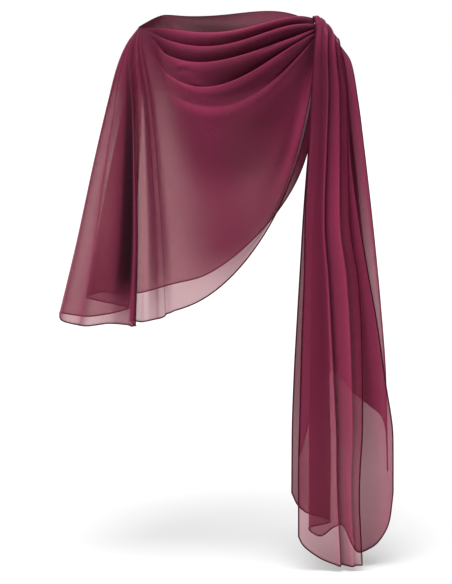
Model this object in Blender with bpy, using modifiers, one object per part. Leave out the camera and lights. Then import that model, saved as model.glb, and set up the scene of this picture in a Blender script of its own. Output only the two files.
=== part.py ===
"""A sheer chiffon cape, worn and hollow: one long length of cloth, wrapped round the shoulders.

It lies across the chest in cowl folds, falls over the right shoulder and arm in knife folds,
crosses the back, and is gathered in a knot on the left shoulder, from which its two ends hang.
The wearer faces -Y and +X is the wearer's left. The origin is midway between the shoulders.
Tables are in millimetres, and the model is in metres.

The body cloth is mapped by two shares: `down` runs from its neck edge (0) to its hem (1), and
`along` runs along each stretch. A strand is a line of cloth at one value of `down`.
"""

import functools
from collections import namedtuple

import bmesh
import bpy
import numpy as np

MM = 0.001
WALL = 1.2 * MM
SEAM = 0.3 * MM  # left open between two stretches that meet
COLLECTION = "chiffon_cape"

# ---------------------------------------------------------------- the strands of the body cloth
# Each strand leaves the knot, passes its dip half way along, and ends on the arm stretch at the
# share `arm` down it. `depth` is how far forward (front) or back (back) the dip lies, and
# `proud` is how far the fold that follows this strand stands out, as far along as `reach`.
Strand = namedtuple("Strand", "name down knot_x knot_z dip_x dip_z arm depth proud reach")

FRONT_STRANDS = (
    Strand("neck edge", 0.000, 150, 50, -19, 17, 0.000, 90, 2, 1.00),
    Strand("trough 0", 0.012, 148, 44, -24, 9, 0.003, 97, -3, 1.00),
    Strand("cowl 1", 0.050, 146, 37, -37, -14, 0.009, 108, 9, 1.00),
    Strand("trough 1", 0.065, 146, 33, -36, -23, 0.014, 112, -5, 1.00),
    Strand("cowl 2", 0.110, 146, 27, -38, -40, 0.026, 122, 13, 1.00),
    Strand("trough 2", 0.130, 147, 23, -24, -52, 0.040, 126, -8, 0.85),
    Strand("cowl 3", 0.185, 148, 17, -10, -80, 0.060, 133, 14, 0.95),
    Strand("trough 3", 0.205, 149, 13, 4, -97, 0.085, 137, -7, 0.70),
    Strand("cowl 4", 0.270, 150, 8, 18, -130, 0.180, 142, 8, 0.45),
    Strand("upper panel", 0.400, 151, 4, 17, -182, 0.350, 147, 3, 0.85),
    Strand("middle panel", 0.560, 152, 0, 35, -258, 0.540, 149, -2, 0.85),
    Strand("lower panel", 0.740, 152, -4, 50, -307, 0.740, 147, 2, 0.85),
    Strand("side fold", 0.930, 153, -9, 68, -311, 0.950, 143, 6, 0.80),
    Strand("hem", 1.000, 156, -22, 72, -325, 1.000, 138, -16, 0.55),
)

BACK_STRANDS = (
    Strand("neck edge", 0.000, 152, 33, 15, 52, 0.000, 75, 2, 1.00),
    Strand("trough 0", 0.050, 153, 30, 8, 30, 0.010, 86, -4, 1.00),
    Strand("back fold 1", 0.130, 154, 26, 2, -6, 0.062, 98, 9, 1.00),
    Strand("trough 1", 0.205, 155, 22, 12, -50, 0.178, 104, -5, 1.00),
    Strand("back fold 2", 0.330, 156, 17, 36, -105, 0.310, 109, 9, 0.95),
    Strand("trough 2", 0.460, 157, 13, 58, -165, 0.430, 112, -5, 0.90),
    Strand("back fold 3", 0.620, 158, 9, 78, -226, 0.610, 112, 8, 0.90),
    Strand("lower panel", 0.800, 159, 4, 90, -280, 0.800, 106, -2, 0.85),
    Strand("hem", 1.000, 161, 0, 92, -325, 1.000, 95, 0, 1.00),
)

# How far forward or back the strands come to the knot: they end on its skin.
KNOT_END_Y = {"neck": -14, "front": -42, "side": -24, "back": 22}

# ---------------------------------------------------------------- the arm stretch
# Half rings over the right shoulder and round the arm, from their front end past their
# outermost point to their back end, with one row at each share down the stretch.
Ring = namedtuple("Ring", "name down front_x front_y back_x back_y out_x")

ARM_RINGS = (
    Ring("shoulder top", 0.00, -166, -18, -126, 36, -174),
    Ring("shoulder", 0.05, -164, -50, -127, 54, -197),
    Ring("upper arm", 0.12, -154, -76, -128, 68, -213),
    Ring("arm", 0.25, -138, -102, -128, 84, -229),
    Ring("elbow", 0.50, -122, -123, -127, 98, -261),
    Ring("forearm", 0.75, -110, -131, -126, 105, -292),
    Ring("hem", 1.00, -102, -135, -125, 108, -326),
)
ARM_TOP_Z = (22, 46)  # of the front end and the back end of the top ring

# The folds round the arm, as their turning points lie at the hem: how much cloth there is up to
# each, where on the ring it lies, how far it stands out of the ring, and its height.
Fold = namedtuple("Fold", "name cloth ring proud hem_z")

ARM_FOLDS = (
    Fold("chest panel", 0, 0.000, 0, -485),
    Fold("chest panel edge", 4, 0.006, 0, -486),
    Fold("small fold, slope", 13, 0.019, -6, -487),
    Fold("small fold, under", 25, 0.033, -8, -489),
    Fold("small fold, turn", 38, 0.016, -1, -491),
    Fold("small fold, top", 56, 0.045, 2, -496),
    Fold("furrow", 68, 0.059, -4, -499),
    Fold("soft ridge", 80, 0.078, 0, -502),
    Fold("into the knife fold", 94, 0.095, -12, -505),
    Fold("narrow fold, under", 112, 0.121, -15, -507),
    Fold("narrow fold, turn", 128, 0.103, -9, -508),
    Fold("knife fold, under", 176, 0.183, -3, -512),
    Fold("knife fold, turn", 222, 0.120, 5, -516),
    Fold("knife fold, top", 242, 0.148, 7, -516),
    Fold("arm hollow", 278, 0.213, -1, -514),
    Fold("arm ridge", 306, 0.262, 6, -516),
    Fold("outer hollow", 350, 0.335, -4, -517),
    Fold("outer ridge", 390, 0.410, 5, -512),
    Fold("outer side", 438, 0.500, 0, -511),
    Fold("elbow ridge", 480, 0.580, 5, -516),
    Fold("elbow hollow", 516, 0.650, -5, -524),
    Fold("back fold, side", 562, 0.740, -5, -531),
    Fold("back fold, under", 600, 0.820, -9, -527),
    Fold("back fold, inner turn", 636, 0.880, -6, -519),
    Fold("back fold, outer turn", 728, 0.728, 4, -494),
    Fold("back fold, top", 764, 0.795, 9, -487),
    Fold("back fold, slope", 812, 0.871, 12, -492),
    Fold("back panel edge", 838, 0.910, 8, -492),
    Fold("back panel side", 862, 0.960, 1, -484),
    Fold("back panel", 890, 1.000, 0, -476),
)
# Where the cloth turns back under itself it keeps a round loop: how much cloth lies on each side of
# the turn, how far it draws back there, and how far the two sides stand apart, halved.
Loop = namedtuple("Loop", "cloth back rise")
ARM_LOOP = Loop(4.5, 0.0055, 1.8)
FOLD_SPREAD = 0.18  # shares down the arm in which the folds slide over each other ...
FOLD_RISE = 0.10  # ... and in which they stand out, which has to come first

# ---------------------------------------------------------------- the loose ends
# Each end is a sheet with one row for each height: how far its middle line lies from the wearer's
# midline, forward, where its two side edges are, and how far it has rounded down at the right one.
# `run` is its share of the way down.
Level = namedtuple("Level", "name run z y left right drop", defaults=(0,))
# Its folds: the cloth up to each as a share of its width, where it lies between the side edges
# high up and at the hem, how far it stands forward at both, and how low its hem hangs there.
Pleat = namedtuple("Pleat", "name cloth high low proud_high proud_low hem_z")

FRONT_TAIL_LEVELS = (
    Level("tucked behind the knot", 0.000, 35, 12.5, 151, 173, 8),
    Level("back of the shoulder", 0.010, 40.2, 3.5, 150, 178, 12),
    Level("top of the shoulder", 0.024, 42.6, -9, 149, 184, 22),
    Level("upper front of the shoulder", 0.036, 40, -21, 148.5, 186, 22),
    Level("front of the shoulder", 0.048, 33, -32, 148, 189, 18),
    Level("knot front", 0.062, 20, -42.5, 149, 192, 8),
    Level("under the knot", 0.085, -4, -58.5, 154, 197, 0),
    Level("collarbone", 0.120, -38, -75, 152, 197),
    Level("chest", 0.175, -95, -97, 147, 204),
    Level("upper ribs", 0.265, -190, -116, 142, 206),
    Level("ribs", 0.390, -325, -124, 134, 210),
    Level("waist", 0.500, -435, -126, 133, 227),
    Level("hip", 0.610, -550, -127, 130, 238),
    Level("thigh", 0.750, -700, -128, 126, 240),
    Level("knee", 0.870, -830, -129, 124, 236),
    Level("hem", 1.000, -975, -130, 125, 244),
)
FRONT_TAIL_PLEATS = (
    Pleat("left edge", 0.000, 0.00, 0.00, 1, 0, -914),
    Pleat("left roll", 0.080, 0.10, 0.06, 4, 4, -930),
    Pleat("left slope", 0.180, 0.26, 0.16, 3, -3, -945),
    Pleat("first valley", 0.290, 0.40, 0.29, 0, -6, -956),
    Pleat("main fold, under", 0.430, 0.52, 0.52, 1, -7, -965),
    Pleat("main fold, inner turn", 0.510, 0.56, 0.46, 2, -1, -967),
    Pleat("main fold", 0.600, 0.63, 0.57, 5, 8, -972),
    Pleat("second valley", 0.690, 0.71, 0.66, 0, -5, -972),
    Pleat("second fold", 0.790, 0.81, 0.78, 4, 2, -971),
    Pleat("third valley", 0.900, 0.90, 0.91, 0, -3, -969),
    Pleat("right edge", 1.000, 1.00, 1.00, 3, 3, -969),
)

BACK_TAIL_LEVELS = (
    Level("knot front", 0.000, 12, -41, 158, 184),
    Level("under the knot", 0.025, -8, -51.5, 158, 194),
    Level("collarbone", 0.060, -38, -62, 154, 206),
    Level("chest", 0.120, -95, -80, 149, 222),
    Level("upper ribs", 0.220, -190, -97, 141, 233),
    Level("ribs", 0.365, -325, -102, 130, 236),
    Level("waist", 0.480, -435, -104, 122, 248),
    Level("hip", 0.605, -550, -105, 117, 268),
    Level("thigh", 0.760, -700, -105, 112, 286),
    Level("knee", 0.880, -830, -106, 110, 301),
    Level("hem", 1.000, -965, -106, 110, 303),
)
BACK_TAIL_PLEATS = (
    Pleat("left edge", 0.000, 0.00, 0.00, 0, -6, -838),
    Pleat("left corner", 0.060, 0.08, 0.06, 1, -7, -862),
    Pleat("left lobe", 0.140, 0.18, 0.16, -1, -8, -878),
    Pleat("lobe fold, under", 0.290, 0.32, 0.34, -2.5, -8, -893),
    Pleat("lobe fold, inner turn", 0.410, 0.40, 0.16, 1, -1, -906),
    Pleat("lobe", 0.490, 0.46, 0.26, 3, 3, -919),
    Pleat("lobe side", 0.590, 0.54, 0.38, 0, 2, -903),
    Pleat("notch", 0.660, 0.62, 0.47, 0, -2, -898),
    Pleat("right lobe", 0.800, 0.75, 0.67, 2, 3, -956),
    Pleat("right lobe, low point", 0.870, 0.84, 0.79, 0, -1, -958),
    Pleat("right corner", 0.930, 0.92, 0.91, 1, 2, -938),
    Pleat("right side", 0.970, 0.96, 0.97, 1, 1, -902),
    Pleat("right edge", 1.000, 1.00, 1.00, 0, 0, -836),
)

UNDER_TAIL_LEVELS = (
    Level("knot front", 0.000, 4, -38.9, 160, 184),
    Level("under the knot", 0.030, -14, -42.5, 162, 198),
    Level("collarbone", 0.070, -38, -51, 161, 215),
    Level("chest", 0.150, -95, -66, 157, 229),
    Level("upper ribs", 0.290, -190, -78, 149, 246),
    Level("ribs", 0.480, -325, -82, 138, 258),
    Level("waist", 0.640, -435, -84, 132, 270),
    Level("hip", 0.800, -550, -85, 128, 282),
    Level("hem", 1.000, -690, -85, 126, 298),
)
UNDER_TAIL_PLEATS = (
    Pleat("left edge", 0.000, 0.00, 0.00, 0, 0, -772),
    Pleat("left leg", 0.100, 0.10, 0.10, 2, 3, -733),
    Pleat("arch, left", 0.240, 0.25, 0.24, 0, -4, -640),
    Pleat("arch, top", 0.350, 0.36, 0.35, 2, 3, -606),
    Pleat("arch, right", 0.520, 0.52, 0.52, 0, -4, -634),
    Pleat("right fold", 0.720, 0.72, 0.74, 2, 4, -670),
    Pleat("right hollow", 0.870, 0.88, 0.89, 0, -3, -700),
    Pleat("right edge", 1.000, 1.00, 1.00, 0, 0, -800),
)
TAIL_LOOP = Loop(0.022, 0.012, 1.6)

# ---------------------------------------------------------------- the knot
KNOT_CENTRE = (161, -8, 8)
KNOT_HALF = (15, 30, 33)  # half of its width, depth and height
KNOT_PLEATS = 9  # that run slantwise round it
KNOT_PLEAT_DEPTH = 1.6

# ---------------------------------------------------------------- how finely each sheet is divided
STEPS_BETWEEN_STRANDS = (1, 2, 1, 2, 1, 2, 1, 2, 2, 3, 2, 3, 2)
TURN_IN = 0.14  # the last share of a stretch, in which it turns into the arm's direction
FRONT_STEPS = (24, 6)  # before and in that share
BACK_STEPS = (14, 4)
ARM_STEP = 19  # of cloth, between two turning points of the folds
TAIL_STEP = 0.06  # of a loose end's width
KNOT_SEGMENTS, KNOT_RINGS = 28, 14


def column(rows, name):
    return np.array([getattr(row, name) for row in rows], float)


def smooth(knots, values, at):
    """The smooth curve through a table's values, which never overshoots them."""
    at = np.asarray(at, float)
    step = np.diff(knots)
    slope = np.diff(values) / step
    bend = np.zeros(len(knots))
    bend[0], bend[-1] = slope[0], slope[-1]
    weight_a, weight_b = 2 * step[1:] + step[:-1], step[1:] + 2 * step[:-1]
    turning = slope[:-1] * slope[1:] <= 0
    safe = [np.where(turning, 1, part) for part in (slope[:-1], slope[1:])]
    mean = (weight_a + weight_b) / (weight_a / safe[0] + weight_b / safe[1])
    bend[1:-1] = np.where(turning, 0, mean)
    k = np.clip(np.searchsorted(knots, at, side="right") - 1, 0, len(step) - 1)
    t = (at - knots[k]) / step[k]
    return (
        values[k] * (1 + 2 * t) * (1 - t) ** 2
        + bend[k] * step[k] * t * (1 - t) ** 2
        + values[k + 1] * t * t * (3 - 2 * t)
        + bend[k + 1] * step[k] * t * t * (t - 1)
    )


def read(rows, key, name, at):
    return smooth(column(rows, key), column(rows, name), at)


def ease(x):
    """From 0 at 0 to 1 at 1, level at both ends."""
    x = np.clip(x, 0, 1)
    return x * x * (3 - 2 * x)


def divided(knots, steps):
    """The knots with each gap between them cut into its own number of steps."""
    parts = [
        np.linspace(a, b, int(n), endpoint=False)
        for a, b, n in zip(knots[:-1], knots[1:], steps)
    ]
    return np.append(np.concatenate(parts), knots[-1])


def divided_evenly(knots, longest):
    return divided(knots, np.maximum(1, np.rint(np.diff(knots) / longest)))


def looped(rows, place, rise, loop):
    """A fold table's columns, with two rows added round each turn, where `place` turns back."""
    table = {name: column(rows, name) for name in rows[0]._fields[1:]}
    given = {name: values.copy() for name, values in table.items()}
    way = np.diff(given[place])
    for k in range(1, len(rows) - 1):
        if way[k - 1] * way[k] >= 0:
            continue
        outward = np.sign(given[rise][k + 1] - given[rise][k - 1])
        for side in (-1, 1):
            at = given["cloth"][k] + side * loop.cloth
            row = {name: np.interp(at, given["cloth"], given[name]) for name in given}
            row[place] = given[place][k] - np.sign(way[k - 1]) * loop.back
            row[rise] = given[rise][k] + side * outward * loop.rise
            spot = np.searchsorted(table["cloth"], at)
            for name, values in table.items():
                table[name] = np.insert(values, spot, row[name])
    return table


# ---------------------------------------------------------------- the three stretches of the body


arm_folds = looped(ARM_FOLDS, "ring", "proud", ARM_LOOP)


def arm_point(cloth, down):
    """The arm stretch: `cloth` is in mm along its hem, `down` is the share down it."""
    ring_rise = 1 - np.exp(-down / FOLD_RISE)
    ring_spread = 1 - np.exp(-down / FOLD_SPREAD)
    flat = cloth / ARM_FOLDS[-1].cloth
    folded, proud, hem_z = (
        smooth(arm_folds["cloth"], arm_folds[name], cloth) for name in ("ring", "proud", "hem_z")
    )
    turn = np.pi * (flat + (folded - flat) * ring_spread - 0.5)
    back = (1 + np.sin(turn)) / 2

    ring = {name: read(ARM_RINGS, "down", name, down) for name in Ring._fields[2:]}
    reach_out = (ring["front_x"] + ring["back_x"]) / 2 - ring["out_x"]
    x = ring["front_x"] + (ring["back_x"] - ring["front_x"]) * back - reach_out * np.cos(turn)
    y = ring["front_y"] + (ring["back_y"] - ring["front_y"]) * back
    x = x - proud * ring_rise * np.cos(turn)
    y = y + proud * ring_rise * np.sin(turn)
    top_z = ARM_TOP_Z[0] + (ARM_TOP_Z[1] - ARM_TOP_Z[0]) * back**2
    z = top_z + (hem_z - top_z) * down
    return np.stack([x, y, z], axis=-1)


def knot_end(strands, down, facing):
    """Where a strand ends on the knot's skin."""
    ends = KNOT_END_Y
    if facing < 0:
        y = ends["neck"] + (ends["front"] - ends["neck"]) * ease(down / 0.12)
        y = y + (ends["side"] - ends["front"]) * ease((down - 0.9) / 0.1)
    else:
        y = ends["back"] + 0 * down
    x, z = (read(strands, "down", name, down) for name in ("knot_x", "knot_z"))
    away = np.stack([x, y, z], axis=-1) - KNOT_CENTRE
    skin = np.array(KNOT_HALF) + (WALL / 2 + SEAM) / MM
    return KNOT_CENTRE + away / np.linalg.norm(away / skin, axis=-1, keepdims=True)


def strand_point(strands, along, down, arm_end, facing):
    """A stretch from the knot (along 0) to the arm (along 1). It faces -1, forward, or 1, back."""
    knot_x, start_y, knot_z = knot_end(strands, down, facing).T
    dip = [read(strands, "down", name, down) for name in ("dip_x", "dip_z")]
    # A parabola through the knot, the dip and the arm.
    x, z = (
        a * (1 - along) * (1 - 2 * along) + 4 * b * along * (1 - along) + c * along * (2 * along - 1)
        for a, b, c in zip((knot_x, knot_z), dip, (arm_end[..., 0], arm_end[..., 2]))
    )
    dip_y = facing * read(strands, "down", "depth", down)
    leaving = start_y + (dip_y - start_y) * (1 - (1 - 2 * along) ** 2)
    arriving = dip_y + (arm_end[..., 1] - dip_y) * ease(2 * along - 1)
    y = np.where(along < 0.5, leaving, arriving)
    reach = read(strands, "down", "reach", down)
    swell = ease(0.15 + along / 0.2) * (1 - ease((along - reach + 0.4) / 0.4))
    y = y + facing * read(strands, "down", "proud", down) * swell
    return np.stack([x, y, z], axis=-1)


def stretch_point(strands, cloth, facing, along, down):
    """A stretch between the knot and the arm. It turns into the arm's own direction at the end."""
    arm_down = read(FRONT_STRANDS, "down", "arm", down)
    arm_end = arm_point(cloth + 0 * down, arm_down)
    on = arm_point(cloth - 3 * facing + 0 * down, arm_down) - arm_end
    on = on / np.linalg.norm(on, axis=-1, keepdims=True)
    short = 1e-3
    last = (arm_end - strand_point(strands, 1 - short + 0 * along, down, arm_end, facing)) / short
    wanted = on * np.linalg.norm(last, axis=-1, keepdims=True)
    t = np.clip((along - 1 + TURN_IN) / TURN_IN, 0, 1)[:, None]
    point = strand_point(strands, along, down, arm_end, facing)
    point = point + (last - wanted) * TURN_IN * t * t * (1 - t)
    return point - on * SEAM / MM * (along >= 1)[:, None]


def front_point(along, down):
    return stretch_point(FRONT_STRANDS, 0, -1, along, down)


def back_point(along, down):
    return stretch_point(BACK_STRANDS, ARM_FOLDS[-1].cloth, 1, along, down)


# ---------------------------------------------------------------- the loose ends


def tail_point(levels, pleats, across, run):
    """A loose end: `across` is the share of its cloth's width, `run` the share of its length."""
    z, y, left, right = (read(levels, "run", name, run) for name in ("z", "y", "left", "right"))
    high, low, proud_high, proud_low, hem_z = (
        smooth(pleats["cloth"], pleats[name], across)
        for name in ("high", "low", "proud_high", "proud_low", "hem_z")
    )
    x = left + (right - left) * (high + (low - high) * (1 - np.exp(-run / 0.2)))
    proud = proud_high + (proud_low - proud_high) * (1 - np.exp(-((run / 0.18) ** 2)))
    right_half = np.clip((2 * x - left - right) / (right - left), 0, 1)
    z = z - read(levels, "run", "drop", run) * right_half**2
    hang = hem_z - levels[-1].z
    hanging = np.clip((run - 0.25) / 0.75, 0, 1) ** 1.5
    # Over the shoulder a fold stands out from the sheet's own run, and lower down straight forward.
    ahead = 1e-3
    rise, away = (
        read(levels, "run", name, run + ahead) - read(levels, "run", name, run)
        for name in ("z", "y")
    )
    length = np.hypot(rise, away)
    return np.stack([x, y + proud * rise / length, z - proud * away / length + hang * hanging], -1)


# ---------------------------------------------------------------- making the objects


def material(name, colour, roughness):
    made = bpy.data.materials.new(name)
    made.use_nodes = True
    shader = made.node_tree.nodes["Principled BSDF"]
    shader.inputs["Base Color"].default_value = (*colour, 1)
    shader.inputs["Roughness"].default_value = roughness
    shader.inputs["Metallic"].default_value = 0
    return made


def sheet(name, columns, rows, place, colour, collection):
    """A cloth wall: a flat grid laid on place(column, row), in mm, and given its thickness."""
    grid = bmesh.new()
    bmesh.ops.create_grid(grid, x_segments=len(columns) - 1, y_segments=len(rows) - 1, size=0.5)
    verts = list(grid.verts)
    flat = np.array([vert.co[:2] for vert in verts]) + 0.5
    i = np.rint(flat[:, 0] * (len(columns) - 1)).astype(int)
    j = np.rint(flat[:, 1] * (len(rows) - 1)).astype(int)
    for vert, point in zip(verts, place(columns[i], rows[j]) * MM):
        vert.co = point
    mesh = bpy.data.meshes.new(name)
    grid.to_mesh(mesh)
    grid.free()
    mesh.shade_smooth()
    mesh.materials.append(material(name, colour, 0.7))
    made = bpy.data.objects.new(name, mesh)
    collection.objects.link(made)
    wall = made.modifiers.new("wall", "SOLIDIFY")
    wall.thickness = WALL
    wall.offset = 0
    return made


def knot(collection):
    """The gathered knot: a rounded bundle with pleats slanting round it."""
    body = bmesh.new()
    bmesh.ops.create_uvsphere(body, u_segments=KNOT_SEGMENTS, v_segments=KNOT_RINGS, radius=1)
    for vert in body.verts:
        x, y, z = vert.co
        around = np.arctan2(z, x)
        pleat = 0.5 - 0.5 * np.cos(KNOT_PLEATS * around + 4 * y)
        gather = 1 - KNOT_PLEAT_DEPTH / KNOT_HALF[0] * pleat * (1 - y * y)
        for axis, share in enumerate((x, y, z)):
            vert.co[axis] = (KNOT_CENTRE[axis] + KNOT_HALF[axis] * share * gather) * MM
    mesh = bpy.data.meshes.new("knot")
    body.to_mesh(mesh)
    body.free()
    mesh.shade_smooth()
    mesh.materials.append(material("knot", (0.10, 0.012, 0.035), 0.7))
    made = bpy.data.objects.new("knot", mesh)
    collection.objects.link(made)
    return made


def main():
    for old in list(bpy.data.objects):
        bpy.data.objects.remove(old)
    collection = bpy.data.collections.new(COLLECTION)
    bpy.context.scene.collection.children.link(collection)

    strand_rows = divided(column(FRONT_STRANDS, "down"), STEPS_BETWEEN_STRANDS)
    arm_rows = read(FRONT_STRANDS, "down", "arm", strand_rows)
    arm_columns = divided_evenly(arm_folds["cloth"], ARM_STEP)
    front_columns, back_columns = (
        divided([0, 1 - TURN_IN, 1], steps) for steps in (FRONT_STEPS, BACK_STEPS)
    )
    sheet("drape_front", front_columns, strand_rows, front_point, (0.19, 0.03, 0.07), collection)
    sheet("drape_arm", arm_columns, arm_rows, arm_point, (0.15, 0.02, 0.05), collection)
    sheet("drape_back", back_columns, strand_rows, back_point, (0.12, 0.015, 0.04), collection)
    knot(collection)

    tails = (
        ("tail_front", FRONT_TAIL_LEVELS, FRONT_TAIL_PLEATS, (0.22, 0.035, 0.08)),
        ("tail_back", BACK_TAIL_LEVELS, BACK_TAIL_PLEATS, (0.26, 0.06, 0.11)),
        ("tail_under", UNDER_TAIL_LEVELS, UNDER_TAIL_PLEATS, (0.15, 0.02, 0.05)),
    )
    for name, levels, rows, colour in tails:
        pleats = looped(rows, "low", "proud_low", TAIL_LOOP)
        across = divided_evenly(pleats["cloth"], TAIL_STEP)
        place = functools.partial(tail_point, levels, pleats)
        sheet(name, across, column(levels, "run"), place, colour, collection)


main()
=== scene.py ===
# A sheer chiffon cape, wrapped round the shoulders and knotted on the left one.
# The wearer faces -Y, and +X is the wearer's left. The tables are in millimetres.
import math

import bmesh
import bpy
import numpy as np
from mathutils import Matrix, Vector


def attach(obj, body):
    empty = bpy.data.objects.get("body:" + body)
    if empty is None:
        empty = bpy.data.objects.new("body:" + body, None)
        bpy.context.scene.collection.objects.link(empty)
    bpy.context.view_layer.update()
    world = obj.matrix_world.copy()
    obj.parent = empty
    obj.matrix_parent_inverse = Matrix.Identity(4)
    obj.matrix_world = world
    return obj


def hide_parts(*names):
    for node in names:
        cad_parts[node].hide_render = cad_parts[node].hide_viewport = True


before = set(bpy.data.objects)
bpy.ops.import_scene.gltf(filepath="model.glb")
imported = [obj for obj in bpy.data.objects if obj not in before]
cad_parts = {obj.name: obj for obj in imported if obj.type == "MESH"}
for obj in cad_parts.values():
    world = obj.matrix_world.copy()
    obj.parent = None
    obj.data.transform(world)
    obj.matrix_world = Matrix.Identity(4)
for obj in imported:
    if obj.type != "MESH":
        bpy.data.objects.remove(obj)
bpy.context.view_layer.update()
mm = 0.001
print("frame loaded")

bpy.context.scene.view_settings.view_transform = "Standard"
bpy.context.scene.cycles.transparent_max_bounces = 48


def placed(name, data):
    made = bpy.data.objects.new(name, data)
    bpy.context.scene.collection.objects.link(made)
    return made


# the camera, at the photo's angle
view = {"target": (-0.0114, 0, -0.473), "distance": 3.05, "elevation": 9, "lens": 98.95, "far": 30}
up = math.radians(view["elevation"])
camera = placed("camera", bpy.data.cameras.new("camera"))
camera.data.lens = view["lens"]
camera.data.clip_end = view["far"]
away = Vector((0, -math.cos(up), math.sin(up)))
camera.location = Vector(view["target"]) + away * view["distance"]
camera.rotation_euler = away.to_track_quat("Z", "Y").to_euler()
bpy.context.scene.camera = camera


# ---- tables and curves


def col(table, name):
    names = table["columns"].split()
    return np.array([row[names.index(name)] for row in table["rows"]], float)


def smooth(knots, values, at):  # a smooth curve through a table's values that never overshoots
    at = np.asarray(at, float)
    step = np.diff(knots)
    slope = np.diff(values) / step
    bend = np.zeros(len(knots))
    bend[0], bend[-1] = slope[0], slope[-1]
    wa, wb = 2 * step[1:] + step[:-1], step[1:] + 2 * step[:-1]
    turning = slope[:-1] * slope[1:] <= 0
    a, b = (np.where(turning, 1, part) for part in (slope[:-1], slope[1:]))
    bend[1:-1] = np.where(turning, 0, (wa + wb) / (wa / a + wb / b))
    k = np.clip(np.searchsorted(knots, at, side="right") - 1, 0, len(step) - 1)
    t = (at - knots[k]) / step[k]
    return (
        values[k] * (1 + 2 * t) * (1 - t) ** 2
        + bend[k] * step[k] * t * (1 - t) ** 2
        + values[k + 1] * t * t * (3 - 2 * t)
        + bend[k + 1] * step[k] * t * t * (t - 1)
    )


def read(table, key, name, at):
    return smooth(col(table, key), col(table, name), at)


def ease(x):
    x = np.clip(x, 0, 1)
    return x * x * (3 - 2 * x)


def after(start, x):  # nothing up to the start, and from there evenly up to one
    return np.clip((x - start) / (1 - start), 0, 1)


def begun(x, length):  # nothing at first, and close to one some lengths further on
    return 1 - np.exp(-x / length)


def bell(x, middle, width):
    return np.exp(-(((x - middle) / width) ** 2))


def steps(knots, longest):  # the knots, and even steps between them
    parts = [
        np.linspace(a, b, max(1, round((b - a) / longest)), endpoint=False)
        for a, b in zip(knots[:-1], knots[1:])
    ]
    return np.append(np.concatenate(parts), knots[-1])


def looped(table, place, rise, loop):  # adds a round loop of cloth at each turn of a fold
    out = {name: col(table, name) for name in table["columns"].split()[1:]}
    given = {name: values.copy() for name, values in out.items()}
    way = np.diff(given[place])
    for k in range(1, len(table["rows"]) - 1):
        if way[k - 1] * way[k] >= 0:
            continue
        outward = np.sign(given[rise][k + 1] - given[rise][k - 1])
        for side in (-1, 1):
            at = given["cloth"][k] + side * loop["cloth"]
            row = {name: np.interp(at, given["cloth"], given[name]) for name in given}
            row[place] = given[place][k] - np.sign(way[k - 1]) * loop["back"]
            row[rise] = given[rise][k] + side * outward * loop["rise"]
            spot = np.searchsorted(out["cloth"], at)
            for name, values in out.items():
                out[name] = np.insert(values, spot, row[name])
    return out


# ---- materials


class Val:  # a socket that takes part in sums
    def __init__(self, tree, socket):
        self.tree, self.socket = tree, socket

    def math(self, operation, a, b):
        return add(self.tree, "Math", {"operation": operation}, {0: a, 1: b})["Value"]

    def __add__(self, other):
        return self.math("ADD", self, other)

    def __radd__(self, other):
        return self.math("ADD", other, self)

    def __rsub__(self, other):
        return self.math("SUBTRACT", other, self)

    def __mul__(self, other):
        return self.math("MULTIPLY", self, other)

    def __rmul__(self, other):
        return self.math("MULTIPLY", other, self)

    def __rtruediv__(self, other):
        return self.math("DIVIDE", other, self)

    def __rpow__(self, other):
        return self.math("POWER", other, self)


class Outputs:
    def __init__(self, tree, node):
        self.tree, self.node = tree, node

    def __getitem__(self, name):
        return Val(self.tree, self.node.outputs[name])


def add(tree, kind, settings, sockets):
    node = tree.nodes.new("ShaderNode" + kind)
    for name, value in settings.items():
        setattr(node, name, value)
    for name, value in sockets.items():
        if isinstance(value, Val):
            tree.links.new(value.socket, node.inputs[name])
        else:
            node.inputs[name].default_value = value
    return Outputs(tree, node)


def newTree(name):
    made = bpy.data.materials.new(name)
    made.use_nodes = True
    made.node_tree.nodes.clear()
    return made, made.node_tree


chiffon = {
    "thread": (0.121, 0.0135, 0.0365),  # the dyed yarn
    "tint": (0.995, 0.872, 0.880, 1),  # of the light that comes through, for each face of the cloth
    "cover": 0.33,  # of the yarn over the gaps, for each face
    "leastFacing": 0.22,  # slantwise views count as no more slanted than this
    "slub": 0.07,  # how much the cover wanders
    "shade": (0.96, 0.08),  # the thread's shade, and how much of a slub is added to it
    "slubs": (50, 1500, 1),  # the noise is drawn out along the yarn
    "picks": (1500, 50, 1),
    "weave": 620.0,
    "relief": {"Strength": 0.05, "Distance": 0.0002},
    "yarn": {
        "Roughness": 0.55,
        "Sheen Weight": 0.06,
        "Sheen Roughness": 0.45,
        "Sheen Tint": (1.0, 0.36, 0.52, 1),
        "Specular Tint": (1.0, 0.45, 0.6, 1),
        "Specular IOR Level": 0.05,
    },
}


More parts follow.
